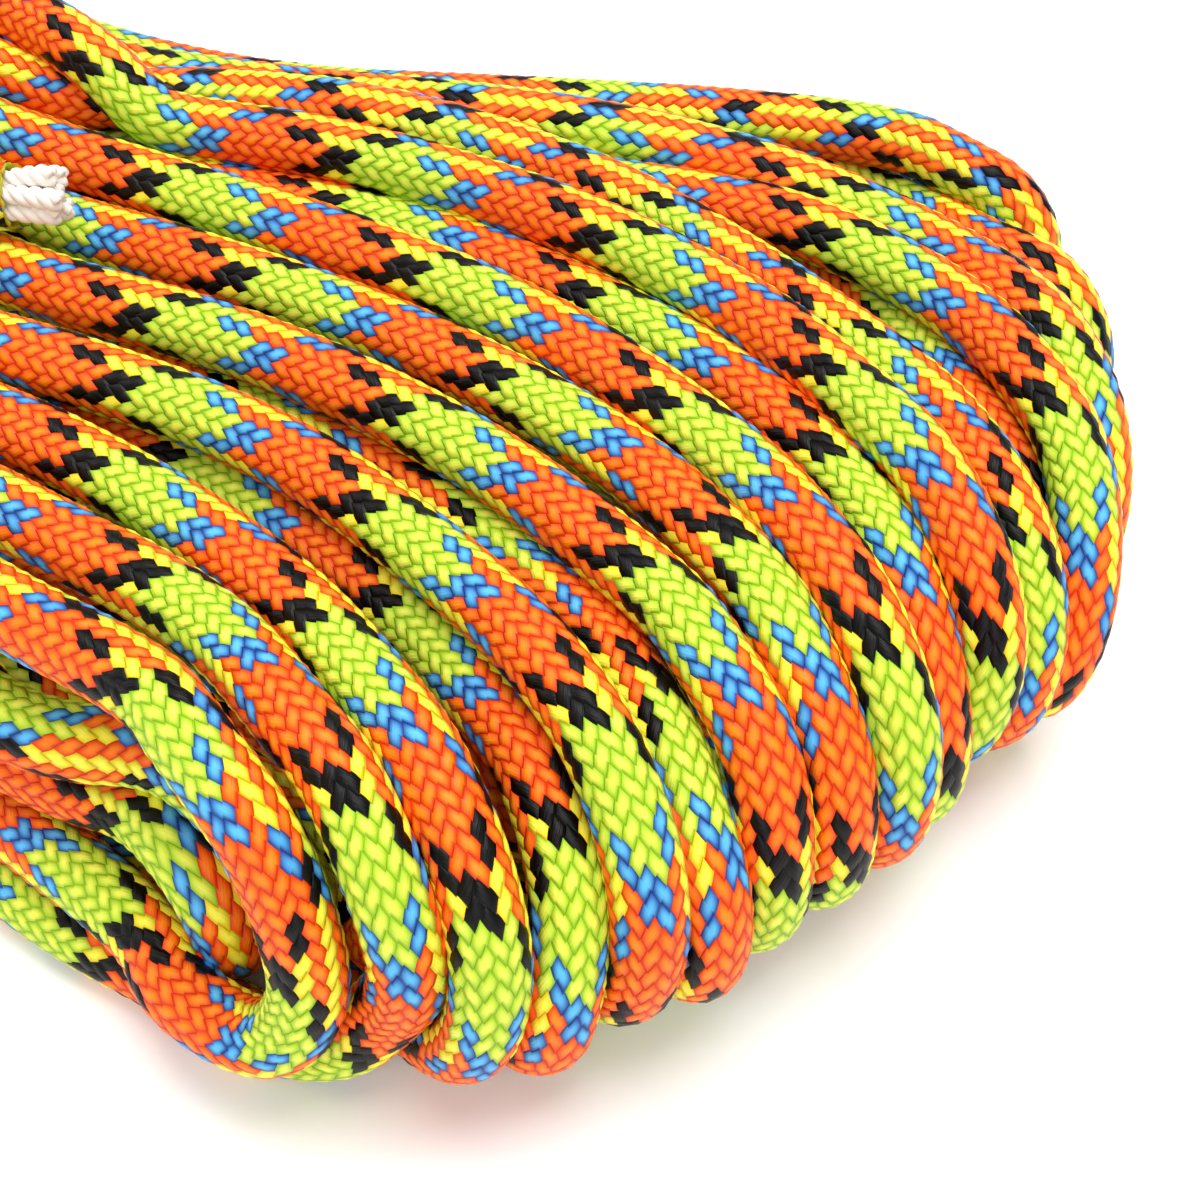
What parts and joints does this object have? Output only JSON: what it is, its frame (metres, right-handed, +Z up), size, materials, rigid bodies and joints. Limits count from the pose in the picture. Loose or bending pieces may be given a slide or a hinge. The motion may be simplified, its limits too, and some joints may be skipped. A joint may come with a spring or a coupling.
{
  "type": "climbing accessory cord",
  "caption": "Hank of braided kernmantle cord, folded into two lobes, bound round its waist with its own tail, with a cut end that shows the core yarns.",
  "frame": {"origin": "middle of the hank's footprint on the surface that it lies on", "axes": "+X along the hank, from the waist towards the lobe with the cut end on it; +Z up; the hank lies flat"},
  "size_m": [0.1944, 0.0786, 0.0338],
  "materials": {
    "sheath": "matte",
    "core": "matte",
    "sealed": "satin"
  },
  "bodies": {
    "root": {"hank_coil": "sheath", "waist_wraps": "sheath", "tail_end": "sheath", "start_end": "sheath", "sealed_tip": "sealed", "core_yarn_1": "core", "core_yarn_2": "core", "core_yarn_3": "core", "core_yarn_4": "core", "core_yarn_5": "core", "core_yarn_6": "core", "core_yarn_7": "core"}
  },
  "joints": []
}
